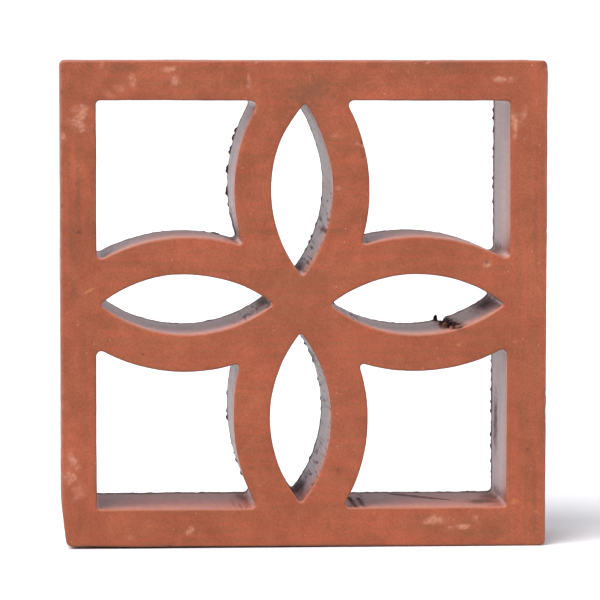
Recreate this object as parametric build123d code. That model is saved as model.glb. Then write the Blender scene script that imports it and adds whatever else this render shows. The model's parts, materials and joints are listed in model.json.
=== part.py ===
from build123d import *
import os

# A fired clay screen block: a square frame round a flower of four open petals.
# The block stands on one edge, as it is laid in a screen wall.
# +X runs along the wall, +Y through it from the front face to the back, +Z is up.
# The origin is the middle of the bottom bed face. All sizes are in millimetres.

# Driving dimensions of the block
block_width = 200.0
block_height = 200.0
block_depth = 60.0
frame_bar = 16.0

# The petals are rings between two pointed ovals, each oval bounded by two equal arcs
petal_distance = 47.0
arc_offset = 44.0
petal_hole_radius = 56.5
petal_outline_radius = 71.6

# Corners seen from the front
outer_corner_radius = 2.5
frame_corner_radius = 1.8
petal_root_radius = 2.0
petal_crotch_radius = 2.5
petal_tip_radius = 1.0

# The front arrises are softened; those at the back stay sharp, as the cutting wire leaves them
front_arris_radius = 1.5

# Directions in which the petals point, anticlockwise from +X
petal_angles = (0, 90, 180, 270)

middle_height = block_height / 2
half_block = block_width / 2
half_opening = half_block - frame_bar

# How near a corner stands to a line that it counts as lying on
closeness = 1.0


def pointed_oval(arc_radius):
    """The outline common to two equal circles, its long axis along X."""
    upper = Pos(0, -arc_offset) * Circle(arc_radius)
    lower = Pos(0, arc_offset) * Circle(arc_radius)
    return upper & lower


def flower(arc_radius):
    """Four pointed ovals round the middle of the block."""
    oval = Pos(petal_distance, 0) * pointed_oval(arc_radius)
    return Sketch() + [Rot(0, 0, angle) * oval for angle in petal_angles]


def tracery():
    """The front view of the block with sharp corners, centred on the origin."""
    outline = Rectangle(block_width, block_height)
    opening = Rectangle(2 * half_opening, 2 * half_opening)
    petals = flower(petal_outline_radius) & outline
    return outline - opening + petals - flower(petal_hole_radius)


def middle_distances(edge):
    """How far an edge through the block is from the two middle planes, the nearer one first."""
    place = edge.center()
    return sorted((abs(place.X), abs(place.Z - middle_height)))


def is_outer_corner(near, far):
    return near > half_block - closeness


def is_frame_corner(near, far):
    return abs(near - half_opening) < closeness


def is_petal_root(near, far):
    return abs(far - half_opening) < closeness < near < petal_distance


def is_petal_crotch(near, far):
    return far - near < closeness and far < petal_distance


def is_petal_tip(near, far):
    return near < closeness


corner_kinds = (
    (is_outer_corner, outer_corner_radius),
    (is_frame_corner, frame_corner_radius),
    (is_petal_root, petal_root_radius),
    (is_petal_crotch, petal_crotch_radius),
    (is_petal_tip, petal_tip_radius),
)


def screen_block():
    """The whole block: the front view drawn through the wall, then its corners and front arrises."""
    view = Plane.XZ * Pos(0, middle_height) * tracery()
    block = extrude(view, block_depth / 2, both=True)
    for belongs, radius in corner_kinds:
        through_edges = block.edges().filter_by(Axis.Y)
        corners = [edge for edge in through_edges if belongs(*middle_distances(edge))]
        print(belongs.__name__, "edges rounded:", len(corners))
        block = fillet(corners, radius)
    front = block.faces().sort_by(Axis.Y)[0]
    return fillet(front.edges(), front_arris_radius)


os.makedirs("parts", exist_ok=True)
block = screen_block()
export_step(block, "parts/screen_block.step")
size = block.bounding_box().size
print("block", round(size.X, 2), round(size.Y, 2), round(size.Z, 2))
print("fired clay, cubic centimetres:", round(block.volume / 1000, 1))
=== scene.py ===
# %% [markdown]
# # A fired clay screen block
#
# The block is one piece of terracotta: a square frame round a flower of four open petals. Such
# blocks stand on edge in a screen wall, where light and air go through them. This lesson makes
# it in the order a brickworks does. The clay is pressed round cores, its edges are wiped, it is
# knocked about a little, and then the fire gives it its colour.
#
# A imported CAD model, the frame, says how large the block is and where it stands. Everything here
# is fitted to it, in metres, with the front of the block facing -Y.

# %% The frame and the block's size
import json
import math
import random

import bmesh
import bpy
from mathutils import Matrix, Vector, kdtree

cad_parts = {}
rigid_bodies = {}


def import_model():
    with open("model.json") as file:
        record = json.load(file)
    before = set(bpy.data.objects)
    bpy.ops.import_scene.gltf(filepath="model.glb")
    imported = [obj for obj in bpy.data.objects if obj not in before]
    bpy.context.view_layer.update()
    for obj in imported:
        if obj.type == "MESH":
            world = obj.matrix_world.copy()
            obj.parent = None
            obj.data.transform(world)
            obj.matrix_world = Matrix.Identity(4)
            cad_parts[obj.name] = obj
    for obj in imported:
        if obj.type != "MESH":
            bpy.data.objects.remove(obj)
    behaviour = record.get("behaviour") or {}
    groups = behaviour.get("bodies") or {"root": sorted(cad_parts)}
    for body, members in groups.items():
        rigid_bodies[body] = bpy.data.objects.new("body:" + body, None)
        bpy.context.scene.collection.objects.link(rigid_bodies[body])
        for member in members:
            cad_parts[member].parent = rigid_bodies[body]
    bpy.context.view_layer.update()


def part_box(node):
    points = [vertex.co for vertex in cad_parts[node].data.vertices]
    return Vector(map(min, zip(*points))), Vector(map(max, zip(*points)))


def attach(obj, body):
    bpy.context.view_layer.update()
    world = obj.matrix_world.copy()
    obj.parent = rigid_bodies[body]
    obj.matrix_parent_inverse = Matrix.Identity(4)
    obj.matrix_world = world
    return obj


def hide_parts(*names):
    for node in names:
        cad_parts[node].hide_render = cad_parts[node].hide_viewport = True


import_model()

mm = 0.001
centimetre = 10 * mm
low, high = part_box("screen_block")
middle = (low + high) / 2
block_size = high - low
half_block = block_size.x / 2
print("block, mm:", [round(side / mm, 1) for side in block_size])

# %% [markdown]
# ## The camera
#
# The photograph looks at the block squarely, but from a little left of it and a little above, so
# that the right and lower walls of every hole show. The walls' width against the block's depth
# gives the distance, about 1.6 metres. A long lens from there fills four fifths of the picture.

# %% The camera
eye = Vector((-107.5, -1637, 206.4)) * mm
share_of_picture = 0.8

sight = middle - eye
bpy.ops.object.camera_add(location=eye, rotation=sight.to_track_quat("-Z", "Y").to_euler())
camera = bpy.context.object
camera.data.lens = camera.data.sensor_width * sight.length * share_of_picture / block_size.x
bpy.context.scene.camera = camera
print("lens, mm:", round(camera.data.lens))

# %% [markdown]
# ## Hands and tools
#
# An operator works on whatever is selected, and the frame leaves its own parts selected. So each
# step starts by holding one piece and letting go of everything else.

# %% Helpers to hold a piece, to pick parts of it and to finish a modifier
def hold(piece, mode="OBJECT"):
    """Select one piece and nothing else, and open it in the given mode."""
    if bpy.context.object and bpy.context.object.mode != "OBJECT":
        bpy.ops.object.mode_set(mode="OBJECT")
    bpy.ops.object.select_all(action="DESELECT")
    piece.select_set(True)
    bpy.context.view_layer.objects.active = piece
    bpy.ops.object.mode_set(mode=mode)


def pick(piece, kind, belongs):
    """Open a piece in edit mode and select its verts, edges or faces that pass a test."""
    hold(piece, "EDIT")
    bpy.ops.mesh.select_mode(type={"verts": "VERT", "edges": "EDGE", "faces": "FACE"}[kind])
    bpy.ops.mesh.select_all(action="DESELECT")
    shape = bmesh.from_edit_mesh(piece.data)
    chosen = [part for part in getattr(shape, kind) if belongs(part)]
    for part in chosen:
        part.select_set(True)
    shape.select_flush_mode()
    bmesh.update_edit_mesh(piece.data)
    return len(chosen)


def modify(piece, kind, **settings):
    """Add a modifier, set it and apply it at once."""
    hold(piece)
    bpy.ops.object.modifier_add(type=kind)
    modifier = piece.modifiers[-1]
    for setting, value in settings.items():
        setattr(modifier, setting, value)
    bpy.ops.object.modifier_apply(modifier=modifier.name)


def join(pieces):
    """Join pieces into the first one."""
    hold(pieces[0])
    for piece in pieces:
        piece.select_set(True)
    bpy.ops.object.join()
    return pieces[0]


def carve(piece, tool):
    """Take the tool's shape out of the piece and throw the tool away."""
    modify(piece, "BOOLEAN", operation="DIFFERENCE", solver="MANIFOLD", object=tool)
    bpy.data.objects.remove(tool)


def measure(piece, words):
    """Print how many faces and open edges a piece has and how much clay is in it."""
    shape = bmesh.new()
    shape.from_mesh(piece.data)
    loose = sum(1 for edge in shape.edges if not edge.is_manifold)
    volume = shape.calc_volume() / centimetre**3
    print(f"{words}: {len(shape.faces)} faces, {loose} open edges, {volume:.1f} cubic centimetres")
    shape.free()


# %% [markdown]
# ## The cores
#
# Each hole is the print of a core that stood in the mould. Its outline could be drawn as a curve
# and extruded. Here it is walked round instead, as with a scriber: one edge runs through the
# wall, and it is spun about the centre of each arc and pulled along each straight until it meets
# its own start. Every arc gets its true centre and radius in that way. Run from a script, spin
# turns clockwise for a positive angle about an axis that points at the viewer, so its axis here
# points away.

# %% Sizes of the tracery, as seen from the front
frame_bar = 16 * mm
half_opening = half_block - frame_bar
petal_distance = 47 * mm
arc_offset = 44 * mm
petal_hole_radius = 56.5 * mm
petal_outline_radius = 71.6 * mm
tip_round = 1.0 * mm
crotch_round = 1.4 * mm
root_round = 2.0 * mm
frame_round = 1.4 * mm
core_length = 1.4 * block_size.y
petal_steps = 28
outline_steps = 20
root_steps = 6
corner_steps = 5
print("a core's length, mm:", round(core_length / mm))


# %% Helpers that walk a core round
def start_core(name, across, up):
    """Open a new core that holds one edge through the wall, at a place seen from the front."""
    bpy.ops.object.select_all(action="DESELECT")
    bpy.ops.mesh.primitive_plane_add(size=core_length, location=middle)
    core = bpy.context.object
    core.name = name
    pick(core, "verts", lambda vert: vert.co.x < 0)
    bpy.ops.mesh.delete(type="VERT")
    bpy.ops.mesh.select_all(action="SELECT")
    bpy.ops.transform.translate(value=(across - core_length / 2, 0, up))
    return core


def sweep(across, up, angle, steps):
    """Spin the edge about a centre, anticlockwise as seen from the front."""
    centre = middle + Vector((across, 0, up))
    bpy.ops.mesh.spin(steps=steps, angle=angle, center=centre, axis=(0, 1, 0))


def pull(across, up):
    """Pull the edge along a straight."""
    bpy.ops.mesh.extrude_region_move(TRANSFORM_OT_translate={"value": (across, 0, up)})


def close_core(core):
    """Weld the last edge to the first, cap both ends and turn every face outwards."""
    bpy.ops.mesh.select_all(action="SELECT")
    bpy.ops.mesh.remove_doubles(threshold=0.01 * mm)
    bpy.ops.mesh.fill_holes(sides=0)
    bpy.ops.mesh.normals_make_consistent(inside=False)
    hold(core)
    print(core.name, "has", len(core.data.polygons), "faces")
    return core


# %% The core of a petal: two equal arcs that meet in slightly rounded tips
def petal_core():
    tip = math.sqrt((petal_hole_radius - tip_round) ** 2 - arc_offset**2)
    meeting = math.atan2(arc_offset, tip)
    start_across = petal_distance + petal_hole_radius * math.cos(meeting)
    start_up = petal_hole_radius * math.sin(meeting) - arc_offset
    core = start_core("petal_core", start_across, start_up)
    sweep(petal_distance, -arc_offset, math.pi - 2 * meeting, petal_steps)
    sweep(petal_distance - tip, 0, 2 * meeting, corner_steps)
    sweep(petal_distance, arc_offset, math.pi - 2 * meeting, petal_steps)
    sweep(petal_distance + tip, 0, 2 * meeting, corner_steps)
    return close_core(core)


# %% The core of a corner: from the crotch of two petals out to the frame and back
def corner_core():
    crotch_reach = petal_outline_radius + crotch_round
    half_step = (petal_distance - arc_offset) / 2
    short_by = (petal_distance**2 + arc_offset**2 - crotch_reach**2) / 2
    crotch = half_step + math.sqrt(half_step**2 - short_by)

    root_reach = petal_outline_radius + root_round
    root_across = half_opening - root_round
    root_up = math.sqrt(root_reach**2 - (root_across - petal_distance) ** 2) - arc_offset

    first = math.atan2(crotch + arc_offset, crotch - petal_distance)
    last = math.atan2(root_up + arc_offset, root_across - petal_distance)
    frame_corner = half_opening - frame_round

    start_across = petal_distance + petal_outline_radius * math.cos(first)
    start_up = petal_outline_radius * math.sin(first) - arc_offset
    core = start_core("corner_core", start_across, start_up)
    sweep(petal_distance, -arc_offset, last - first, outline_steps)
    sweep(root_across, root_up, math.pi - last, root_steps)
    pull(0, frame_corner - root_up)
    sweep(frame_corner, frame_corner, math.pi / 2, corner_steps)
    pull(root_up - frame_corner, 0)
    sweep(root_up, root_across, math.pi - last, root_steps)
    sweep(-arc_offset, petal_distance, last - first, outline_steps)
    sweep(crotch, crotch, 2 * first - math.pi / 2, root_steps)
    return close_core(core)


# %% [markdown]
# ## Setting the cores
#
# Both kinds of core are made once and copied a quarter turn apart. In the real mould no core
# stands quite true: some are a hair wide, and some lean, which shows as a broader or narrower
# wall inside the hole. So each copy has its four sides moved, none by as much as 2 mm, and its
# rear end drifts a little against its front end. A side that has warped is pushed at one place
# with proportional editing, which takes its neighbours along.

# %% Helpers that copy a core and set it
def turned_copy(core, name, quarters):
    """A copy of a core with its own mesh, turned by quarter turns, anticlockwise from the front."""
    hold(core)
    bpy.ops.object.duplicate()
    copy = bpy.context.object
    copy.name = name
    copy.rotation_euler.y = -quarters * math.pi / 2
    bpy.ops.object.transform_apply(location=False, rotation=True, scale=False)
    return copy


def set_core(core, left=0, right=0, bottom=0, top=0, drift=(0, 0)):
    """Move a core's sides and the rear end of it, in millimetres to the right or up."""
    pick(core, "verts", lambda vert: True)
    corners = [core.matrix_world @ Vector(corner) for corner in core.bound_box]
    lowest, highest = corners[0], corners[6]
    width = highest.x - lowest.x
    height = highest.z - lowest.z
    stretch = (1 + (right - left) * mm / width, 1, 1 + (top - bottom) * mm / height)
    bpy.ops.transform.resize(value=stretch, center_override=lowest)
    bpy.ops.transform.translate(value=(left * mm, 0, bottom * mm))
    pick(core, "verts", lambda vert: vert.co.y > 0)
    bpy.ops.transform.translate(value=(drift[0] * mm, 0, drift[1] * mm))
    hold(core)


def warp(core, across, up, push, reach=20):
    """Push a core's side at a place, all in millimetres from the middle of the face."""
    place = middle + Vector((across, 0, up)) * mm

    def distance(vert):
        return math.hypot(vert.co.x - place.x, vert.co.z - place.z)

    pick(core, "verts", lambda vert: True)
    nearest = min(distance(vert) for vert in bmesh.from_edit_mesh(core.data).verts)
    pick(core, "verts", lambda vert: distance(vert) < nearest + 1 * mm)
    bpy.ops.transform.translate(
        value=(push[0] * mm, 0, push[1] * mm), use_proportional_edit=True,
        proportional_edit_falloff="SMOOTH", proportional_size=reach * mm,
    )
    hold(core)


# %% Eight cores from two
cores = {}
for core, names in (
    (petal_core(), ("right_petal", "upper_petal", "left_petal", "lower_petal")),
    (corner_core(), ("upper_right", "upper_left", "lower_left", "lower_right")),
):
    for quarters, name in enumerate(names):
        cores[name] = turned_copy(core, name, quarters)
    bpy.data.objects.remove(core)
print("cores:", ", ".join(cores))

# %% The cores, set as they stood
set_core(cores["upper_petal"], left=-1.05, right=-0.75, bottom=0.0, top=-0.2, drift=(-0.5, 0))
set_core(cores["lower_petal"], left=-1.55, right=-1.55, bottom=0.5, top=0.1, drift=(-0.2, 0))
set_core(cores["left_petal"], left=-1.35, right=-1.25, bottom=0.3, top=0.1, drift=(0, 0.9))
set_core(cores["right_petal"], left=-1.25, right=-0.15, bottom=-0.2, top=-0.4, drift=(0, 1.2))
set_core(cores["upper_left"], left=-0.95, right=-1.0, bottom=0.3, top=-0.6, drift=(-0.55, 0.3))
set_core(cores["lower_left"], left=-1.25, right=-1.55, bottom=0.3, top=0.05, drift=(0, 0.3))
set_core(cores["upper_right"], left=-0.95, right=0.55, bottom=0.3, top=-0.7, drift=(-0.7, 0.3))
set_core(cores["lower_right"], left=-1.85, right=-0.65, bottom=0.3, top=-0.05, drift=(0, -0.2))
warp(cores["lower_left"], -28, -62, (-0.7, 0), reach=26)
warp(cores["upper_right"], 23, 72, (0.5, 0))
warp(cores["upper_petal"], 7, 60, (0.6, 0.2))
warp(cores["upper_petal"], -9, 28, (0.5, 0))
warp(cores["left_petal"], -26, 6, (0, -0.4))
for name, core in cores.items():
    print(name, "core, mm:", [round(side / mm, 1) for side in core.dimensions])

# %% [markdown]
# ## Pressing the block
#
# The clay starts as a slab. It is a little out of square, so its corners are moved in, each by its
# own amount. The lower left one was pressed in when the wet block was set down, so a plane cuts it
# off with a bisect. The edges that run through the wall are rounded, and the cores are taken out
# of the slab with one Boolean. The slab is a shade smaller than the frame's box, because the
# clay's unevenness is still to come and has to stay within it.

# %% The slab
room = Vector((0.18, 0.2, 0.18)) * mm
outer_round = 2.2 * mm
taper_width = 2.4 * mm
taper_height = 19 * mm
corner_moves = {
    (-1, 1): (0.02, -0.04), (1, 1): (-0.1, -0.04),
    (-1, -1): (0.02, 0.9), (1, -1): (-0.4, 0),
}

bpy.ops.object.select_all(action="DESELECT")
bpy.ops.mesh.primitive_cube_add(size=1, location=middle, scale=block_size - 2 * room)
block = bpy.context.object
block.name = "screen_block_clay"
bpy.ops.object.transform_apply(location=True, rotation=False, scale=True)


def runs_through(edge):
    """True for an edge that runs from the front of the slab to the back."""
    start, end = edge.verts
    return abs(start.co.y - end.co.y) > block_size.y / 2


for (side, end), (push, lift) in corner_moves.items():
    pick(block, "verts", lambda vert: vert.co.x * side > 0 and (vert.co.z - middle.z) * end > 0)
    bpy.ops.transform.translate(value=(push * mm, 0, lift * mm))
pick(block, "faces", lambda face: True)
taper = Vector((taper_width, 0, -taper_height))
bpy.ops.mesh.bisect(
    plane_co=Vector((low.x + room.x, 0, low.z + taper_height)),
    plane_no=Vector((0, 1, 0)).cross(taper).normalized(), clear_outer=True, use_fill=True,
)
pick(block, "edges", runs_through)
bpy.ops.mesh.bevel(offset=outer_round, segments=5, affect="EDGES")
carve(block, join(list(cores.values())))
measure(block, "pressed block")

# %% [markdown]
# ## Wiping the arrises
#
# The front edges are wiped with a wet thumb before the clay dries. The ledges that face up get it
# hardest, and the walls that face left get more than the rest. The back was cut with a wire and
# left sharp. A Bevel modifier that is limited by weight gives each edge its own share of one
# width. The weight operator adds to what an edge has already, and stops at 1, the full width.
#
# The modifier also narrows all its bevels until none runs into the next. The short facets in the
# holes' tips hold it to a few hundredths of a millimetre here, so it only breaks the sharpness.
# The round that shows, about 0.6 mm, comes later, when the skin is fused and smoothed.

# %% Breaking the front arrises
widest_bevel = 2.3 * mm
front_y = low.y + room.y
to_the_left = Vector((-1, 0, 0))
to_the_sky = Vector((0, 0, 1))


def on_front_outline(edge):
    """True for an edge between the front face and a wall."""
    flat = all(abs(vert.co.y - front_y) < 0.01 * mm for vert in edge.verts)
    return flat and any(abs(face.normal.y) < 0.5 for face in edge.link_faces)


def wall_faces(edge, direction):
    """True for a front arris whose wall faces a direction."""
    towards = any(face.normal.dot(direction) > 0.6 for face in edge.link_faces)
    return towards and on_front_outline(edge)


wiped_edges = (
    ("all front arrises", on_front_outline, 0.45),
    ("arrises of walls that face left", lambda edge: wall_faces(edge, to_the_left), 0.25),
    ("arrises of ledges", lambda edge: wall_faces(edge, to_the_sky), 0.8),
)
for words, belongs, more in wiped_edges:
    print(words + ":", pick(block, "edges", belongs), "edges")
    bpy.ops.transform.edge_bevelweight(value=more)
modify(block, "BEVEL", limit_method="WEIGHT", width=widest_bevel, segments=5)
bevelled_to = max(vert.co.y for vert in block.data.vertices if vert.co.y < middle.y)
print("width of the bevels after that narrowing, mm: up to", round((bevelled_to - front_y) / mm, 2))
measure(block, "wiped block")

# %% [markdown]
# ## Knocks, burrs and tears
#
# Where the cores were drawn out and the wire came through, the back edges of the holes are
# ragged. Grains were torn out and crumbs of clay hang on. Both are made from one rough pebble, an
# icosphere with its points pushed about. Some pebbles are carved out as chips, and others are
# left on as crumbs. They are set along the rim that is read from the mesh, so they sit on the
# real edge wherever the cores stood. Each one's place is noted in a list, for the colour later.

# %% A rough pebble and the rear rims of the holes
dice = random.Random(11)
torn_places = []
back_y = high.y - room.y


def pebble(place, size, stretch=(1, 1, 1), turn=(0, 0, 0), dark=1.0):
    """A rough lump of a size, in metres, at a place, and how dark it leaves the clay there."""
    bpy.ops.object.select_all(action="DESELECT")
    bpy.ops.mesh.primitive_ico_sphere_add(
        subdivisions=2, radius=size / 2, location=place, rotation=turn, scale=stretch
    )
    lump = bpy.context.object
    hold(lump, "EDIT")
    bpy.ops.transform.vertex_random(offset=0.18 * size, seed=dice.randrange(10_000))
    hold(lump)
    bpy.ops.object.transform_apply(location=True, rotation=True, scale=True)
    torn_places.append((Vector(place), size, dark))
    return lump


def rear_rims(piece):
    """Short stretches of the edges between the back and the holes' walls: middle, normal, length."""
    edge_of_slab = half_block - 2 * outer_round
    longest_stretch = 3 * mm
    shape = bmesh.new()
    shape.from_mesh(piece.data)
    stretches = []
    for edge in shape.edges:
        start, end = (vert.co for vert in edge.verts)
        from_middle = (start + end) / 2 - middle
        inside = max(abs(from_middle.x), abs(from_middle.z)) < edge_of_slab
        walls = [face.normal.copy() for face in edge.link_faces if abs(face.normal.y) < 0.5]
        if inside and walls and all(abs(vert.co.y - back_y) < 0.01 * mm for vert in edge.verts):
            count = math.ceil((end - start).length / longest_stretch)
            for number in range(count):
                place = start.lerp(end, (number + 0.5) / count)
                stretches.append((place, walls[0], (end - start) / count))
    shape.free()
    return stretches


rims = rear_rims(block)
rim_length = sum(along.length for place, normal, along in rims)
print("stretches of rim:", len(rims), "mm in all:", round(rim_length / mm))

# %% Chips torn out of the rims, and crumbs left hanging on them
chips = []
crumbs = []
near_reach = 14 * mm


def on_rim(near=None):
    """A random point of the rims, near a place or anywhere on the side walls, and the way out there."""
    if near is None:
        chosen = [rim for rim in rims if abs(rim[1].z) < 0.75]
    else:
        chosen = [rim for rim in rims if (rim[0] - near).length < near_reach]
    lengths = [along.length for place, normal, along in chosen]
    place, normal, along = dice.choices(chosen, weights=lengths)[0]
    return place + along * dice.uniform(-0.5, 0.5), normal


def ragged(count, chip_size, crumb_size, near=None):
    """Set chips and crumbs on the rims, all round or near a place."""
    for number in range(count):
        place, normal = on_rim(near)
        size = dice.triangular(0.35, 1.1, 0.6) * chip_size
        chips.append(pebble(place + normal * 0.2 * size, size, stretch=(1, dice.uniform(1, 2.6), 1)))
        place, normal = on_rim(near)
        size = dice.triangular(0.35, 1.1, 0.5) * crumb_size
        long = dice.uniform(0.8, 2.2)
        sunk = Vector((0, -0.7 * size * long, 0))
        crumbs.append(pebble(place + sunk, size, stretch=(1, long, 1)))


def spot(across, up, deep=0):
    """A place given in millimetres from the middle of the front face, to the right, up and inwards."""
    return Vector((middle.x + across * mm, low.y + deep * mm, middle.z + up * mm))


ragged(30, chip_size=2.2 * mm, crumb_size=1.5 * mm)
rear = 60
ragged_places = (
    (-31, 56, 10, 2.2), (-32, 66, 6, 1.8), (-31, 36, 10, 1.5), (76, 68, 9, 1.7), (76, 50, 5, 1.4),
    (-27, -62, 8, 1.8), (9, -10, 6, 1.8), (8, -22, 8, 1.6), (4, 30, 6, 1.5), (78, -40, 8, 1.5),
    (76, -70, 5, 1.5), (-6, -68, 4, 1.6),
)
for across, up, count, size in ragged_places:
    ragged(count, size * mm, 1.1 * size * mm, near=spot(across, up, rear))
print("chips:", len(chips), "crumbs:", len(crumbs))

# %% [markdown]
# The right petal has the one real wound: a furrow torn right through its lower wall, with crumbs
# of dark clay along its sides. Finer tears run through the walls elsewhere, all in the direction
# in which the cores were drawn. Both are rows of pebbles, uneven in the furrow and even in a tear.

# %% The furrow
furrow_start = spot(62.6, -10.2, 3.5)
furrow_end = spot(61.2, -9.9, 62)
furrow_steps = 16
for step in range(furrow_steps):
    aside = Vector((dice.uniform(-1.1, 1.1), 0, dice.uniform(-0.3, 0.2))) * mm
    shape_of_chip = (dice.uniform(0.7, 1.2), dice.uniform(1.2, 2.8), 0.7)
    place = furrow_start.lerp(furrow_end, step / (furrow_steps - 1)) + aside
    turn = (0, 0, dice.uniform(-0.4, 0.4))
    chips.append(pebble(place, dice.uniform(2.2, 4.4) * mm, stretch=shape_of_chip, turn=turn))
for step in range(furrow_steps):
    aside = Vector((dice.choice((-1, 1)) * dice.uniform(1.4, 3.2), 0, 0.2)) * mm
    shape_of_crumb = (1, dice.uniform(0.8, 2.6), 0.9)
    place = furrow_start.lerp(furrow_end, dice.uniform(0.02, 0.86)) + aside
    turn = (0, 0, dice.uniform(-0.5, 0.5))
    crumbs.append(pebble(place, dice.uniform(1.1, 2.8) * mm, stretch=shape_of_crumb, turn=turn))
crumbs.append(pebble(spot(59.4, -9.4, 57.0), 2.2 * mm, stretch=(0.9, 1, 1.2)))
print("furrow, mm:", round((furrow_end - furrow_start).length / mm))


# %% The tears
def tear(start, end, width):
    """A row of thin pebbles from one place to another, each longer than its share of the way."""
    along = end - start
    count = round(along.length / (1.6 * width)) + 1
    turn = along.to_track_quat("Y", "Z").to_euler()
    stretch = (1, 2.2 * along.length / count / width, 1)
    return [
        pebble(start.lerp(end, (number + 0.5) / count), width, stretch, turn, dark=0.8)
        for number in range(count)
    ]


chips += tear(spot(21.4, -84.4, 0.8), spot(21.1, -83.8, 41), 1.2 * mm)
chips += tear(spot(24.7, -84.4, 0.8), spot(24.8, -83.8, 38), 1.1 * mm)
chips += tear(spot(9.3, 29.7, 1), spot(8.7, 29.6, 30), 0.8 * mm)
print("chips with the tears:", len(chips))

# %% [markdown]
# The front edges have small knocks from stacking, clean inside, and a few pits mark where grit
# fell out of the face. They are pebbles too. The pebbles overlap, which a Boolean doesn't bear, so
# a voxel Remesh first fuses them all into one tool.

# %% Knocks and pits, and all the chips carved out at once
knocks = (
    (-55.2, -100.2, 2.6), (99.9, -37.0, 2.4), (100.2, -44.0, 3.0), (99.8, 98.0, 3.4), (74.8, 16.6, 1.8),
    (23.6, 65.6, 1.6), (24.4, 60.2, 1.3), (-99.8, 40.0, 2.0), (-100.0, -20.0, 1.8), (84.6, 60.0, 1.2),
    (100.0, 30.0, 1.8), (-20.0, 100.1, 2.0), (50.0, 100.2, 2.4),
)
for across, up, size in knocks:
    chips.append(pebble(spot(across, up, 0.2), size * mm, stretch=(1, 1, 1.4), dark=0.15))
pits = (
    (13.6, -68.2, 1.1), (31.0, -8.0, 0.9), (-66.0, -20.0, 0.8), (92.0, -60.0, 1.0), (-92.0, 30.0, 0.9),
)
for across, up, size in pits:
    chips.append(pebble(spot(across, up), size * mm, stretch=(1.6, 0.8, 0.7), dark=0.6))

chip_tool = join(chips)
modify(chip_tool, "REMESH", mode="VOXEL", voxel_size=0.25 * mm)
carve(block, chip_tool)
measure(block, "knocked block")
join([block] + crumbs)

# %% [markdown]
# ## One skin of clay
#
# So far the block is a shell of flat facets with crumbs stuck into it. A voxel Remesh fuses it all
# into one even skin, fine enough to carry the clay's unevenness. A light Smooth takes the facets
# off the pebbles and rounds every arris by about half a millimetre.

# %% Fusing the skin
voxel = 0.5 * mm
modify(block, "REMESH", mode="VOXEL", voxel_size=voxel)
modify(block, "SMOOTH", factor=0.5, iterations=2)
measure(block, "skin")

# %% [markdown]
# ## The clay's own unevenness
#
# Displace modifiers push the skin by soft noise, each at its own scale. The whole block sways by
# a tenth or two of a millimetre, its faces have shallow hollows, and the rear rims crumble. A
# vertex group keeps the crumbling to the last few millimetres of the walls.

# %% Helpers for noise and for vertex groups
def weigh(piece, name, share, levels=6):
    """Make a vertex group whose weights come from a function of each point's place and normal."""
    group = piece.vertex_groups.new(name=name)
    by_level = {level: [] for level in range(1, levels + 1)}
    for vert, normal in zip(piece.data.vertices, piece.data.vertex_normals):
        level = round(levels * share(vert.co, normal.vector))
        if level > 0:
            by_level[level].append(vert.index)
    for level, members in by_level.items():
        group.add(members, level / levels, "REPLACE")
    print(name, "holds", sum(len(members) for members in by_level.values()), "points")
    return group.name


def uneven(piece, name, size, height, direction="NORMAL", outwards=0.5, group=""):
    """Displace a piece by soft noise of a size and height, in metres."""
    texture = bpy.data.textures.new(name, "CLOUDS")
    texture.noise_scale = size
    texture.noise_depth = 1
    modify(
        piece, "DISPLACE", texture=texture, texture_coords="LOCAL", direction=direction,
        strength=height, mid_level=1 - outwards, vertex_group=group,
    )


def rim_share(place, normal):
    """How much a point belongs to the crumbling rear rim of a hole."""
    reach = 2.6 * mm
    deep = (place.y - (high.y - reach)) / reach
    inside = max(abs(place.x - middle.x), abs(place.z - middle.z)) < half_block - outer_round
    return max(0, min(1, deep)) if inside and normal.y < 0.9 else 0


# %% Pushing the skin
uneven(block, "sway_across", 45 * mm, 0.3 * mm, direction="X")
uneven(block, "sway_up", 38 * mm, 0.3 * mm, direction="Z")
uneven(block, "hollows", 20 * mm, 0.3 * mm)
uneven(block, "dimples", 5 * mm, 0.12 * mm)
rim_group = weigh(block, "rear_rim", rim_share)
uneven(block, "crumbling", 2.0 * mm, 0.8 * mm, outwards=0.4, group=rim_group)

# %% [markdown]
# ## Fewer triangles
#
# The skin is finer than it has to be on the flats. Decimate keeps the triangles where the shape
# turns, at the rims, chips and arrises, and spends fewer elsewhere.

# %% Thinning the skin and shading it
most_triangles = 195_000


def triangle_count(piece):
    return sum(len(face.vertices) - 2 for face in piece.data.polygons)


print("triangles before:", triangle_count(block))
if triangle_count(block) > most_triangles:
    modify(block, "DECIMATE", ratio=most_triangles / triangle_count(block))
print("triangles kept:", triangle_count(block))
hold(block)
bpy.ops.object.shade_smooth_by_angle(angle=math.radians(50))
measure(block, "finished block")

# %% [markdown]
# ## Where the clay is torn
#
# A torn place shows the dark inside of the clay, and its hollow is painted dark as well, as painted
# shade. No pattern in space could follow it. So the mesh carries it: each point gets a number from 0
# to 1 by how near it is to a chip, crumb or tear, in an attribute of its own that the material
# reads. It is full to just outside a pebble and fades out one radius further on. The places overlap,
# so the darkest of the five nearest counts.

# %% The torn attribute
tree_of_places = kdtree.KDTree(len(torn_places))
for number, (place, size, dark) in enumerate(torn_places):
    tree_of_places.insert(place, number)
tree_of_places.balance()


def how_torn(point):
    """How dark a point is painted, for torn clay and the shade in its hollow, from 0 to 1."""
    share = 0.0
    for nearest, number, distance in tree_of_places.find_n(point, 5):
        place, size, dark = torn_places[number]
        radii = 2 * distance / size
        share = max(share, dark * min(1.0, 2.1 - radii))
    return share


shares_torn = [how_torn(vert.co) for vert in block.data.vertices]
torn = block.data.attributes.new("torn", "FLOAT", "POINT")
torn.data.foreach_set("value", shares_torn)
print("torn points:", sum(1 for share in shares_torn if share > 0.5))

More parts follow.
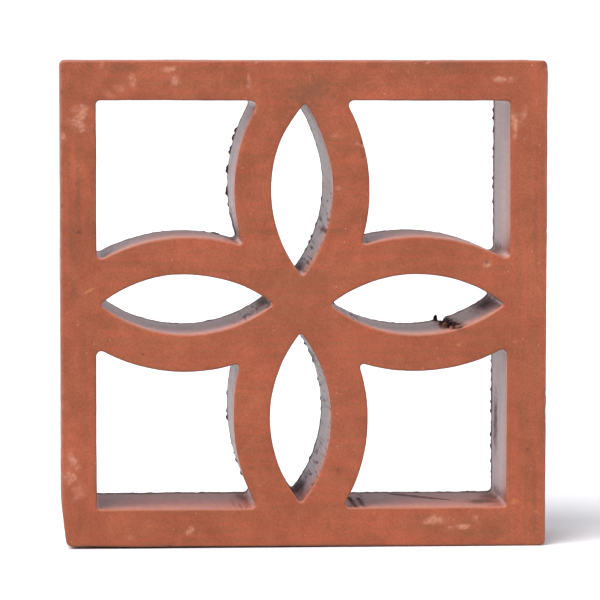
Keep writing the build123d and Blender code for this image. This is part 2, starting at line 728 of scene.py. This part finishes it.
# %% [markdown]
# ## The colour of the fire
#
# One clay and one firing made the whole block, so it has one material. Its pattern is read from
# Object coordinates, in metres, so every size in it is a real one. Small node groups hold what
# repeats. First come helpers: one adds a node and links or sets its inputs, and the others stand
# on it, so that a mask or a colour takes one line.

# %% Helpers that add nodes
def socket(sockets, key):
    """A socket by number, or the one of that name that the node's settings leave in use."""
    if isinstance(key, int):
        return sockets[key]
    return next(one for one in sockets if one.enabled and one.name == key)


def add_node(tree, kind, inputs=None, **settings):
    """Add a node, set it, and link its inputs to sockets or set them to values."""
    node = tree.nodes.new("ShaderNode" + kind)
    for setting, value in settings.items():
        setattr(node, setting, value)
    for key, value in (inputs or {}).items():
        if isinstance(value, bpy.types.NodeSocket):
            tree.links.new(value, socket(node.inputs, key))
        else:
            socket(node.inputs, key).default_value = value
    return node


def calc(tree, operation, first, second=0.0, third=0.0):
    """The output of a Math node."""
    return add_node(tree, "Math", {0: first, 1: second, 2: third}, operation=operation).outputs[0]


def together(tree, operation, *values):
    """Several values taken together: MULTIPLY for their product, MAXIMUM for the largest."""
    total = values[0]
    for value in values[1:]:
        total = calc(tree, operation, total, value)
    return total


def ramp(tree, value, start, end, first=0.0, last=1.0):
    """A number that goes smoothly from first to last as a value goes from start to end."""
    ends = {"Value": value, "From Min": start, "From Max": end, "To Min": first, "To Max": last}
    return add_node(tree, "MapRange", ends, interpolation_type="SMOOTHSTEP").outputs["Result"]


def between(tree, share, first, second):
    """A number between two others."""
    numbers = {"Factor": share, "A": first, "B": second}
    return socket(add_node(tree, "Mix", numbers, data_type="FLOAT").outputs, "Result")


def blend(tree, share, first, second, way="MIX"):
    """A colour between two others or, with MULTIPLY, the first tinted by the second."""
    colours = {"Factor": share, "A": first, "B": second}
    return socket(add_node(tree, "Mix", colours, data_type="RGBA", blend_type=way).outputs, "Result")


def steps_of_colour(tree, value, stops):
    """A colour that goes from one stop to the next as a value grows. Each stop is (value, colour)."""
    node = add_node(tree, "ValToRGB", {"Fac": value})
    band = node.color_ramp
    for number, (at, colour) in enumerate(stops):
        stop = band.elements[number] if number < 2 else band.elements.new(at)
        stop.position = at
        stop.color = colour
    return node.outputs["Color"]


def noise(tree, position, size, detail=2.0, rough=0.5, stretch=(1, 1, 1)):
    """Soft noise from 0 to 1 whose lumps have a size, in metres, longer along some axes."""
    scale = tuple(1 / (size * longer) for longer in stretch)
    moved = add_node(tree, "Mapping", {"Vector": position, "Scale": scale}).outputs[0]
    settings = {"Vector": moved, "Scale": 1.0, "Detail": detail, "Roughness": rough}
    return add_node(tree, "TexNoise", settings).outputs["Fac"]


def new_group(name, inputs, outputs):
    """A node group with named sockets: its tree, what it is given and what it gives back."""
    tree = bpy.data.node_groups.new(name, "ShaderNodeTree")
    for names, side in ((inputs, "INPUT"), (outputs, "OUTPUT")):
        for name_of_socket, kind in names.items():
            tree.interface.new_socket(name_of_socket, in_out=side, socket_type="NodeSocket" + kind)
    given = tree.nodes.new("NodeGroupInput").outputs
    result = tree.nodes.new("NodeGroupOutput").inputs
    return tree, given, result


# %% [markdown]
# ## Fired clay
#
# The clay itself is never one red. The flame leaves broad clouds, darker and lighter, the mix has
# lumps of a few millimetres, and the sand in it is a fine speckle of pale and dark grains. Here
# and there an iron grain has burnt nearly black, and crushed brick shows as paler shards. Lumps
# and speckle are soft noise that multiplies the colour. Grains and shards are cells of a Voronoi
# pattern, and each cell's random colour says whether it holds one.

# %% The group for the clay body
cloud_colours = ((0.250, 0.0600, 0.0238, 1), (0.286, 0.0700, 0.0279, 1))
lump_shades = ((0.93, 0.92, 0.90, 1), (1.06, 1.09, 1.12, 1))
speckle_shades = ((0.87, 0.85, 0.83, 1), (1.14, 1.17, 1.21, 1))
iron_colour = (0.13, 0.045, 0.022, 1)
pale_clay = (0.50, 0.22, 0.15, 1)
size_of_cell = 3.2 * mm


def clay_body_group():
    tree, given, result = new_group(
        "clay_body", {"Position": "Vector"}, {"Color": "Color", "Grain": "Float"}
    )
    position = given["Position"]
    clouds = ramp(tree, noise(tree, position, 34 * mm, 2.0), 0.36, 0.64)
    lumps = ramp(tree, noise(tree, position, 7 * mm, 4.0, 0.6), 0.34, 0.66)
    grain = noise(tree, position, 0.75 * mm, 3.0, 0.65)
    colour = blend(tree, clouds, *cloud_colours)
    colour = blend(tree, 1.0, colour, blend(tree, lumps, *lump_shades), "MULTIPLY")
    speckle = blend(tree, ramp(tree, grain, 0.3, 0.7), *speckle_shades)
    colour = blend(tree, 1.0, colour, speckle, "MULTIPLY")
    cells = add_node(tree, "TexVoronoi", {"Vector": position, "Scale": 1 / size_of_cell}).outputs
    kind_of_cell = add_node(tree, "SeparateColor", {"Color": cells["Color"]}).outputs["Red"]
    iron_cell = ramp(tree, kind_of_cell, 0.84, 0.88)
    iron = calc(tree, "MULTIPLY", ramp(tree, cells["Distance"], 0.12, 0.05), iron_cell)
    colour = blend(tree, iron, colour, iron_colour)
    shard_cell = ramp(tree, kind_of_cell, 0.26, 0.22)
    shards = calc(tree, "MULTIPLY", ramp(tree, cells["Distance"], 0.13, 0.06, 0.0, 0.5), shard_cell)
    colour = blend(tree, shards, colour, pale_clay)
    tree.links.new(colour, result["Color"])
    tree.links.new(grain, result["Grain"])
    return tree


clay_body = clay_body_group()
print("nodes in the clay body:", len(clay_body.nodes))

# %% [markdown]
# ## Marks at known places
#
# Scuffs, smears and dark corners sit where chance left them. A mark is an ellipsoid about a place:
# the position is moved, turned and divided by the mark's size, and what is nearer than 1 lies
# inside. Noise added to that distance breaks its edge. The group is built once and placed for each
# mark, with a place in millimetres from the middle of the front face: to the right, up and in.

# %% The group for a mark
def mark_group():
    tree, given, result = new_group(
        "mark",
        {"Position": "Vector", "Place": "Vector", "Size": "Vector", "Turn": "Float", "Noise": "Float"},
        {"Mask": "Float"},
    )
    moved = add_node(tree, "VectorMath", {0: given["Position"], 1: given["Place"]}, operation="SUBTRACT")
    turned = add_node(
        tree, "VectorRotate", {"Vector": moved.outputs[0], "Angle": given["Turn"]}, rotation_type="Y_AXIS"
    )
    sized = add_node(tree, "VectorMath", {0: turned.outputs[0], 1: given["Size"]}, operation="DIVIDE")
    far = add_node(tree, "VectorMath", {0: sized.outputs[0]}, operation="LENGTH").outputs["Value"]
    broken = calc(tree, "ADD", far, calc(tree, "MULTIPLY_ADD", given["Noise"], 2.2, -1.1))
    tree.links.new(ramp(tree, broken, 1.1, 0.2), result["Mask"])
    return tree


mark = mark_group()
print("nodes in a mark:", len(mark.nodes))


# %% Helpers that place marks
def all_marks(tree, position, broken_by, marks):
    """The strongest of many marks. Each has its place, half sizes, turn and strength."""
    masks = []
    for across, up, deep, size, turn, strength in marks:
        settings = {
            "Position": position, "Noise": broken_by, "Place": spot(across, up, deep),
            "Size": Vector(size) * mm, "Turn": turn,
        }
        mask = add_node(tree, "Group", settings, node_tree=mark).outputs["Mask"]
        masks.append(calc(tree, "MULTIPLY", mask, strength))
    return together(tree, "MAXIMUM", *masks)


def at_one_depth(deep, reach, rows):
    """Marks that differ only as seen from the front: across, up, half sizes, turn and strength."""
    return [
        (across, up, deep, (wide, reach, tall), turn, strength)
        for across, up, wide, tall, turn, strength in rows
    ]


# %% [markdown]
# Blocks that rub against each other leave pale scuffs, mostly near the corners of the frame. Each
# one was set against the photograph, and reaches 3 mm into the clay, so that it wraps round an
# arris but doesn't show on the walls.

# %% Pale scuffs on the face
skin_deep = 3.0
pale_marks = at_one_depth(0, skin_deep, (
    (-55.4, 96.2, 4.2, 1.9, 0.1, 0.9),
    (-52.9, 92.0, 2.6, 3.8, 0.5, 0.8),
    (-70.1, 91.3, 2.4, 4.2, 0.2, 0.7),
    (-75.2, 88.3, 4.0, 2.4, -0.5, 0.6),
    (-80.2, 86.2, 4.0, 1.9, -0.4, 0.5),
    (-82.7, 98.3, 1.6, 2.6, 0, 0.6),
    (-22.6, 92.3, 1.4, 2.9, 0.1, 0.8),
    (-22.8, 89.1, 1.9, 1.4, 0, 0.7),
    (-21.5, 81.3, 3.2, 3.2, 0, 0.7),
    (-91.0, 78.3, 4.8, 4.5, 0.3, 0.9),
    (-91.7, 73.3, 6.4, 3.5, -0.3, 0.8),
    (-98.9, 68.9, 2.9, 2.2, 0, 0.8),
    (80.8, 92.0, 6.7, 2.1, 0, 0.9),
    (86.1, 74.7, 2.6, 6.1, 0.1, 1.0),
    (89.9, 77.6, 2.2, 4.8, -0.3, 0.7),
    (86.3, 68.9, 1.9, 2.2, 0, 0.7),
    (12.3, 68.9, 2.6, 1.6, 0, 0.6),
    (22.4, 65.6, 3.5, 1.0, -0.2, 0.7),
    (13.8, 47.8, 1.9, 1.3, 0, 0.6),
    (74.5, 16.5, 2.6, 2.4, 0, 0.9),
    (-94.7, -63.8, 2.6, 6.4, 0.3, 0.9),
    (-96.7, -70.3, 4.8, 5.1, 0, 0.8),
    (-92.7, -76.7, 3.8, 5.8, -0.3, 0.6),
    (-47.8, -93.0, 4.2, 2.1, 0.5, 0.9),
    (-71.7, -95.4, 3.2, 1.6, 0, 0.5),
    (53.4, -89.0, 6.7, 2.6, 0.1, 0.9),
    (65.5, -91.8, 4.2, 1.6, 0, 0.9),
    (60.4, -92.2, 2.2, 1.3, 0, 0.8),
    (70.6, -88.2, 1.9, 2.2, 0.4, 0.7),
))
print("pale marks:", len(pale_marks))

# %% [markdown]
# The flame passed some parts of the block more smokily than others. These clouds are marks too,
# large and soft, and they reach right through the block, so the walls and the back share them.

# %% Smoky and pale clouds
half_way = 30
right_through = 90
smoky_clouds = at_one_depth(half_way, right_through, (
    (-55, 66, 62, 40, 0.3, 0.9),
    (2, 74, 22, 34, 0, 0.9),
    (76, -95, 44, 14, 0, 1.0),
    (38, 94, 44, 12, 0, 0.8),
    (-84, 90, 24, 16, 0, 0.6),
    (-64, 27, 32, 13, 0.2, 1.0),
    (0, 42, 26, 26, 0, 0.9),
    (-93, 22, 13, 34, 0, 0.9),
))
pale_clouds = at_one_depth(half_way, right_through, (
    (94, 8, 11, 92, 0, 0.9),
    (12, -46, 32, 40, -0.2, 0.8),
    (-8, 2, 30, 16, 0, 0.5),
    (74, -93, 38, 12, 0, 0.7),
    (92, 84, 14, 20, 0, 0.7),
))
print("clouds:", len(smoky_clouds) + len(pale_clouds))

# %% [markdown]
# Sooty hands left dark smears on the face, the darkest above the upper petal. Along the sides
# they are long and thin. A few specks of yellow clay were never mixed in.

# %% Dark smears and ochre specks
dark_marks = at_one_depth(0, skin_deep, (
    (2.6, 86.9, 12.0, 7.0, 0.2, 0.85),
    (-74.0, 97.3, 10.0, 2.2, 0, 0.6),
    (59.4, 98.3, 7.0, 1.8, 0, 0.7),
    (-92.5, 46.3, 1.2, 20.0, 0, 0.6),
    (-95.7, 30.3, 1.0, 14.0, 0, 0.5),
    (-3.4, 6.3, 22.0, 14.0, 0.3, 0.35),
    (94.9, 33.3, 1.6, 24.0, 0, 0.6),
    (94.9, -79.7, 1.8, 20.0, 0, 0.5),
))
print("dark marks:", len(dark_marks))

ochre_marks = at_one_depth(0, skin_deep, (
    (86.4, -81.8, 2.4, 1.6, 0.2, 0.7),
    (-88.2, 6.0, 3.6, 0.7, 0.5, 0.8),
    (63.4, -16.8, 1.3, 0.9, 0, 0.8),
    (95.6, -85.8, 1.2, 1.0, 0, 0.7),
    (73.9, 16.5, 0.9, 0.9, 0, 0.9),
))
print("ochre marks:", len(ochre_marks))

# %% [markdown]
# The tips and crotches of the holes are painted dark along the walls, as painted shade where the
# light doesn't reach. These marks lie at depths of their own. A thin dark streak runs slantwise over
# the ledge of the lower right hole. It is a row of overlapping marks that taper.

# %% Painted shade on the walls
# dark marks for painted shade in the tips and crotches, and one slantwise dark streak
wall_shade_marks = [
    (79, -3, 40, (7, 28, 6), 0, 0.9),
    (83, 20, 40, (4, 25, 4), 0, 0.6),
    (80, -82, 35, (6, 25, 4), 0, 0.6),
    (-28, 29, 52, (5, 24, 8), 0, 1.0),
    (-31, 58, 62, (4, 14, 7), 0, 1.0),
    (-31, 42, 62, (4, 12, 5), 0, 0.9),
    (-1, 14, 40, (4, 25, 4), 0, 0.8),
    (-2, -78, 44, (6, 28, 7), 0, 1.0),
    (-16, 0, 40, (6, 28, 4), 0, 0.7),
    (-24, -82, 40, (3.5, 22, 3.5), 0, 0.6),
    (84, -53, 42, (3, 9, 16), 0, 0.7),
    (5, -26, 45, (4, 20, 5), 0, 0.6),
    (76, -84, 20, (9, 10, 3), 0, 0.7),
]
streak_steps = 13
streak_start = Vector((41.6, -84, 48.8))
streak_end = Vector((61.5, -84, 27.5))
for step in range(streak_steps):
    share = step / (streak_steps - 1)
    wide = 4.2 - 1.6 * share
    wall_shade_marks.append((*streak_start.lerp(streak_end, share), (wide, wide, 2.5), 0, 0.9))
print("wall marks:", len(wall_shade_marks))

# %% [markdown]
# ## The block's one material
#
# Position and normal tell the shader which surface it is on. A wall is where the normal doesn't
# point forwards or back, a ledge is where it points up, and the depth says how far in a place
# lies, from 0 at the front to 1 at the back. The distances from the block's upright and level
# middle lines tell the petals from the frame.

# %% The material and what it knows of the surface
clay = bpy.data.materials.new("fired_clay")
clay.use_nodes = True
tree = clay.node_tree
shader = tree.nodes["Principled BSDF"]
coordinates = add_node(tree, "TexCoord").outputs
position = coordinates["Object"]
normal = add_node(tree, "SeparateXYZ", {"Vector": coordinates["Normal"]}).outputs
along_x, along_y, along_z = add_node(tree, "SeparateXYZ", {"Vector": position}).outputs
wall = ramp(tree, calc(tree, "ABSOLUTE", normal["Y"]), 0.85, 0.35)
ledge = ramp(tree, normal["Z"], 0.35, 0.85)
depth = calc(tree, "MULTIPLY_ADD", along_y, 1 / block_size.y, -low.y / block_size.y)
off_upright = calc(tree, "ABSOLUTE", along_x)
off_level = calc(tree, "ABSOLUTE", calc(tree, "SUBTRACT", along_z, middle.z))
body = add_node(tree, "Group", {"Position": position}, node_tree=clay_body).outputs
colour = body["Color"]
print("nodes with the clay:", len(tree.nodes))

# %% [markdown]
# The clouds only tint the clay. So do the faint streaks of the wiping hand, which run up and down
# the side bars and level everywhere else. A streak is noise stretched sixteen times along one axis.

# %% Clouds and wiped streaks
smoky_tint = (0.87, 0.90, 0.91, 1)
pale_tint = (1.05, 1.09, 1.15, 1)
streak_tints = ((0.92, 0.99, 0.95, 1), (1.07, 0.99, 1.04, 1))

edge_of_cloud = noise(tree, position, 14 * mm, 4.0, 0.6)
smoky = all_marks(tree, position, edge_of_cloud, smoky_clouds)
veiled = all_marks(tree, position, edge_of_cloud, pale_clouds)
colour = blend(tree, smoky, colour, smoky_tint, "MULTIPLY")
colour = blend(tree, veiled, colour, pale_tint, "MULTIPLY")

upright = noise(tree, position, 2.2 * mm, 3.0, 0.6, stretch=(1, 1, 16))
level = noise(tree, position, 2.2 * mm, 3.0, 0.6, stretch=(16, 1, 1))
side_bar = ramp(tree, off_upright, half_opening - 4 * mm, half_opening + 2 * mm)
streaks = ramp(tree, between(tree, side_bar, level, upright), 0.35, 0.65)
colour = blend(tree, 1.0, colour, blend(tree, streaks, *streak_tints), "MULTIPLY")
print("nodes with clouds and streaks:", len(tree.nodes))

# %% [markdown]
# A scuff is a thin veil of pale dust with brighter wisps in it, where the skin was scratched. So
# its mask is a third of the mark, or the mark broken up by fine noise where that is stronger.

# %% Scuffs, smears and specks on the face
smear_colour = (0.150, 0.052, 0.024, 1)
ochre_colour = (0.42, 0.16, 0.05, 1)

rough_edge = noise(tree, position, 3.0 * mm, 4.0, 0.6)
fine = noise(tree, position, 1.3 * mm, 6.0, 0.75)
scuffed = all_marks(tree, position, rough_edge, pale_marks)
veil = calc(tree, "MULTIPLY", scuffed, 0.3)
wisps = calc(tree, "ADD", scuffed, calc(tree, "MULTIPLY_ADD", fine, 2.0, -1.0))
scuffs = calc(tree, "MAXIMUM", veil, ramp(tree, wisps, 0.25, 1.35))
smears = all_marks(tree, position, rough_edge, dark_marks)
specks = all_marks(tree, position, rough_edge, ochre_marks)
for mask, most, paint in (
    (smears, 0.75, smear_colour), (scuffs, 0.85, pale_clay), (specks, 0.6, ochre_colour),
):
    colour = blend(tree, calc(tree, "MULTIPLY", mask, most), colour, paint)
print("nodes with marks:", len(tree.nodes))

# %% [markdown]
# The walls took up fine sand and dust from the cores, and the ledges hold the most of it. Their
# colour also carries painted light. It is pinker near the front, where more light falls, and a
# greyer lavender further in, which is a painted sheen of grazing reflection. The frame's ledges are
# painted darker in the middle of their depth, as painted shade. The petals' ledges, which the cores
# left smoothest, are painted the palest, as a painted sheen. The colours are stops along the depth.

# %% Dust and sand on the walls and ledges, with painted light and painted sheen
# dust with painted light and sheen: pinker near the front, lavender grey further in
wall_dust_and_sheen = steps_of_colour(tree, depth, (
    (0.06, (0.30, 0.088, 0.054, 1)), (0.17, (0.38, 0.160, 0.126, 1)),
    (0.36, (0.49, 0.335, 0.330, 1)), (0.95, (0.43, 0.330, 0.338, 1)),
))
# frame ledges: painted light at the front, painted shade in the middle, painted sheen at the back
frame_ledge_dust_and_shade = steps_of_colour(tree, depth, (
    (0.04, (0.50, 0.185, 0.125, 1)), (0.35, (0.36, 0.105, 0.080, 1)),
    (0.60, (0.34, 0.125, 0.100, 1)), (0.92, (0.37, 0.170, 0.140, 1)),
))
# petal ledges: painted palest, a painted sheen
petal_ledge_dust_and_sheen = steps_of_colour(tree, depth, (
    (0.03, (0.62, 0.270, 0.200, 1)), (0.18, (0.60, 0.310, 0.260, 1)), (0.92, (0.62, 0.390, 0.350, 1)),
))
level_petals = ramp(tree, off_level, 32 * mm, 22 * mm)
ledge_dust_and_light = blend(tree, level_petals, frame_ledge_dust_and_shade, petal_ledge_dust_and_sheen)
sand = noise(tree, position, 0.8 * mm, 4.0, 0.8)
dust_and_sheen_share = calc(tree, "MULTIPLY", wall, ramp(tree, sand, 0.25, 0.75, 0.35, 0.85))
colour = blend(tree, dust_and_sheen_share, colour, blend(tree, ledge, wall_dust_and_sheen, ledge_dust_and_light))
print("nodes with dust:", len(tree.nodes))

# %% [markdown]
# A core that is drawn out drags fine lines along the wall, straight in from the front. Their light
# and dark tint is partly painted shade of the wall's waviness. In the upright petals the core stuck
# a little, and the deepest of the lines are painted dark, as painted shade in the scores. They fade
# out towards the top of the upper petal.

# %% Drag lines and scores on the walls, with painted shade
drag_shade_tints = ((0.90, 0.89, 0.89, 1), (1.06, 1.06, 1.06, 1))
score_shade_colour = (0.14, 0.095, 0.085, 1)

drag = noise(tree, position, 1.3 * mm, 4.0, 0.6, stretch=(1, 16, 1))
# painted shade of the wall's waviness along the drag lines
drag_shade_tint = blend(tree, ramp(tree, drag, 0.3, 0.7), *drag_shade_tints)
colour = blend(tree, wall, colour, drag_shade_tint, "MULTIPLY")
deepest = ramp(tree, drag, 0.46, 0.34)
upright_petals = ramp(tree, off_upright, 32 * mm, 22 * mm)
below_top = ramp(tree, along_z, middle.z + 48 * mm, middle.z + 38 * mm, 0.1, 0.6)
# painted shade in the deepest scores
scored_shade = together(tree, "MULTIPLY", deepest, upright_petals, wall, below_top)
colour = blend(tree, scored_shade, colour, score_shade_colour)
print("nodes with drag lines:", len(tree.nodes))

# %% [markdown]
# A wiped arris is painted pale where it faces up, a painted highlight over a little slip, and
# painted dark where it faces down, as painted shade. There the normal points forwards and up or down
# at once, so the product of the two tells them apart. The block's outermost skin on the left and
# the right is tinted a duller, greyer red.

# %% Painted highlight and painted shade on the arrises, and the tinted outer sides
slip_and_highlight_colour = (0.42, 0.18, 0.13, 1)
arris_shade_colour = (0.13, 0.060, 0.040, 1)
outer_side_tint = (0.30, 0.120, 0.085, 1)

arris = calc(tree, "MULTIPLY", normal["Z"], calc(tree, "MULTIPLY", normal["Y"], -1.0))
# painted highlight where the arris faces up
colour = blend(tree, ramp(tree, arris, 0.05, 0.35, 0.0, 0.4), colour, slip_and_highlight_colour)
# painted shade where the arris faces down
colour = blend(tree, ramp(tree, arris, -0.05, -0.35, 0.0, 0.4), colour, arris_shade_colour)
smudge = noise(tree, position, 3.5 * mm, 4.0, 0.7)
outermost = ramp(tree, off_upright, half_block - 1.8 * mm, half_block - 0.6 * mm)
# a duller, greyer tint along the outermost left and right skin
outer_side_tinted = calc(tree, "MULTIPLY", outermost, ramp(tree, smudge, 0.35, 0.6, 0.2, 0.7))
colour = blend(tree, outer_side_tinted, colour, outer_side_tint)
print("nodes with arrises:", len(tree.nodes))

# %% [markdown]
# Painted shade darkens the marked tips and crotches. A smudgy dark band runs along the rear rims of
# the holes, partly a stain where the wire dragged wet clay over the edge and partly painted shade.
# On the outer sides it is a third as strong. Last comes the torn clay, by the attribute, which
# nothing covers: darker clay, with painted shade in its hollows.

# %% Painted shade in the corners, dark rear rims and torn clay
corner_shade_colour = (0.072, 0.052, 0.048, 1)
rim_stain_and_shade_colour = (0.07, 0.030, 0.025, 1)
torn_and_shade_colour = (0.050, 0.020, 0.016, 1)

# painted shade in the tips and crotches
corner_shade = together(tree, "MULTIPLY", all_marks(tree, position, smudge, wall_shade_marks), wall, 0.88)
colour = blend(tree, corner_shade, colour, corner_shade_colour)
from_middle = calc(tree, "MAXIMUM", off_upright, off_level)
in_hole = ramp(tree, from_middle, half_block - 2 * mm, half_block - 4 * mm, 0.3, 1.0)
near_rear = ramp(tree, depth, 0.84, 0.97)
smudged = ramp(tree, smudge, 0.36, 0.56, 0.35, 1.0)
# dark rear rims: partly a stain, partly painted shade
rim_stain_and_shade = together(tree, "MULTIPLY", near_rear, smudged, wall, in_hole)
colour = blend(tree, rim_stain_and_shade, colour, rim_stain_and_shade_colour)
torn_and_shade_share = add_node(tree, "Attribute", attribute_name="torn").outputs["Fac"]
# darker torn clay, with painted shade in the hollows of chips, pits, tears and crumbs
colour = blend(tree, torn_and_shade_share, colour, torn_and_shade_colour)
tree.links.new(colour, shader.inputs["Base Color"])
print("nodes in the whole colour:", len(tree.nodes))

# %% [markdown]
# Fired clay is matt, but sanded walls seen at a low angle catch a soft sheen, so they are the
# smoother ones. Stains, painted shade and torn clay would look grey with that sheen on them, and are
# quite rough.

# %% Roughness
stain_and_shade_rough = 0.95
smoother_petals = -0.07

face_rough = ramp(tree, body["Grain"], 0.3, 0.7, 0.50, 0.62)
wall_rough = ramp(tree, sand, 0.3, 0.7, 0.32, 0.46)
ledge_rough = ramp(tree, sand, 0.3, 0.7, 0.40, 0.52)
ledge_rough = calc(tree, "MULTIPLY_ADD", level_petals, smoother_petals, ledge_rough)
rough = between(tree, ledge, between(tree, wall, face_rough, wall_rough), ledge_rough)
stained_and_shaded = together(tree, "MAXIMUM", corner_shade, torn_and_shade_share, rim_stain_and_shade, scored_shade)
tree.links.new(between(tree, stained_and_shaded, rough, stain_and_shade_rough), shader.inputs["Roughness"])
shader.inputs["Specular IOR Level"].default_value = 0.3
print("nodes with roughness:", len(tree.nodes))

# %% [markdown]
# What is finer than the mesh comes from bump: the grain of the clay all over, the drag lines on
# the walls, and on the back the level lines that the cutting wire left.

# %% Grain, drag lines and wire lines
wire = noise(tree, position, 1.1 * mm, 3.0, 0.6, stretch=(18, 1, 1))
wire_lines = calc(tree, "MULTIPLY", wire, ramp(tree, normal["Y"], 0.6, 0.95))
grain = {"Height": body["Grain"], "Distance": 0.12 * mm, "Strength": 0.5}
lines = {
    "Height": calc(tree, "MULTIPLY_ADD", drag, wall, wire_lines), "Distance": 0.16 * mm,
    "Strength": 0.45, "Normal": add_node(tree, "Bump", grain).outputs["Normal"],
}
tree.links.new(add_node(tree, "Bump", lines).outputs["Normal"], shader.inputs["Normal"])
block.data.materials.clear()
block.data.materials.append(clay)
print("nodes in the material:", len(tree.nodes))

# %% [markdown]
# ## The studio
#
# A pale floor, a large soft sun from the upper left, and a pale sky. The photograph's ground is
# burnt out to white, so the sky is brightest in a band at the horizon, where it lies behind the
# block, and dimmer above, so that it doesn't fill the walls' shade.

# %% The floor
bpy.ops.object.select_all(action="DESELECT")
bpy.ops.mesh.primitive_circle_add(radius=12, fill_type="NGON", vertices=64)
floor = bpy.context.object
floor.name = "floor"
pale_floor = bpy.data.materials.new("pale_floor")
pale_floor.use_nodes = True
floor_shader = pale_floor.node_tree.nodes["Principled BSDF"].inputs
floor_shader["Base Color"].default_value = (0.85, 0.85, 0.85, 1)
floor_shader["Roughness"].default_value = 0.9
floor.data.materials.append(pale_floor)
print("floor, m across:", round(floor.dimensions.x))

# %% The sky
world = bpy.data.worlds.new("studio")
bpy.context.scene.world = world
world.use_nodes = True
sky = world.node_tree
towards = add_node(sky, "TexCoord").outputs["Generated"]
height = add_node(sky, "SeparateXYZ", {"Vector": towards}).outputs["Z"]
strength = ramp(sky, height, 0.10, 0.24, 1.15, 0.7)
background = sky.nodes["Background"]
background.inputs["Color"].default_value = (0.98, 0.99, 1.06, 1)
sky.links.new(strength, background.inputs["Strength"])
bpy.context.scene.view_settings.view_transform = "Standard"
print("nodes in the sky:", len(sky.nodes))

# %% The key light
sun_direction = Vector((-1.0, -1.0, 1.7))
bpy.ops.object.light_add(type="SUN", location=sun_direction)
key = bpy.context.object
key.name = "key_light"
key.data.energy = 3.5
key.data.angle = 0.8
key.rotation_euler = (-sun_direction).to_track_quat("-Z", "Y").to_euler()
print("width of the sun, degrees:", round(math.degrees(key.data.angle)))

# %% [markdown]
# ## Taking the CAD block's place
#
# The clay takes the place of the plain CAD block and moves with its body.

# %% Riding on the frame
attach(block, "root")
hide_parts("screen_block")
